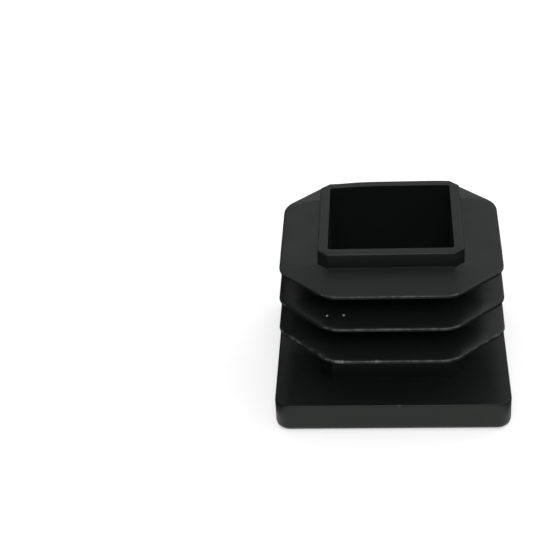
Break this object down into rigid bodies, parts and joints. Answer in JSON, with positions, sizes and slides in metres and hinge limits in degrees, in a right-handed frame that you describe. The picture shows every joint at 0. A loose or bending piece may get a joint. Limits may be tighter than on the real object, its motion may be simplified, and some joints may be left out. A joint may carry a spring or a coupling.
{
  "type": "tube end cap",
  "caption": "Square tube end cap: a flat square head with a hollow ribbed insert, whose sloping octagonal fins grip the inside of the tube.",
  "frame": {"origin": "centre of the head's outer face, which the cap stands on", "axes": "+Z along the insert, from the head to its open end; X and Y square to the head's sides"},
  "size_m": [0.04, 0.04, 0.0306],
  "materials": {
    "moulded_ldpe": "matte black, as moulded"
  },
  "bodies": {
    "root": {"end_cap": "moulded_ldpe"}
  },
  "joints": []
}
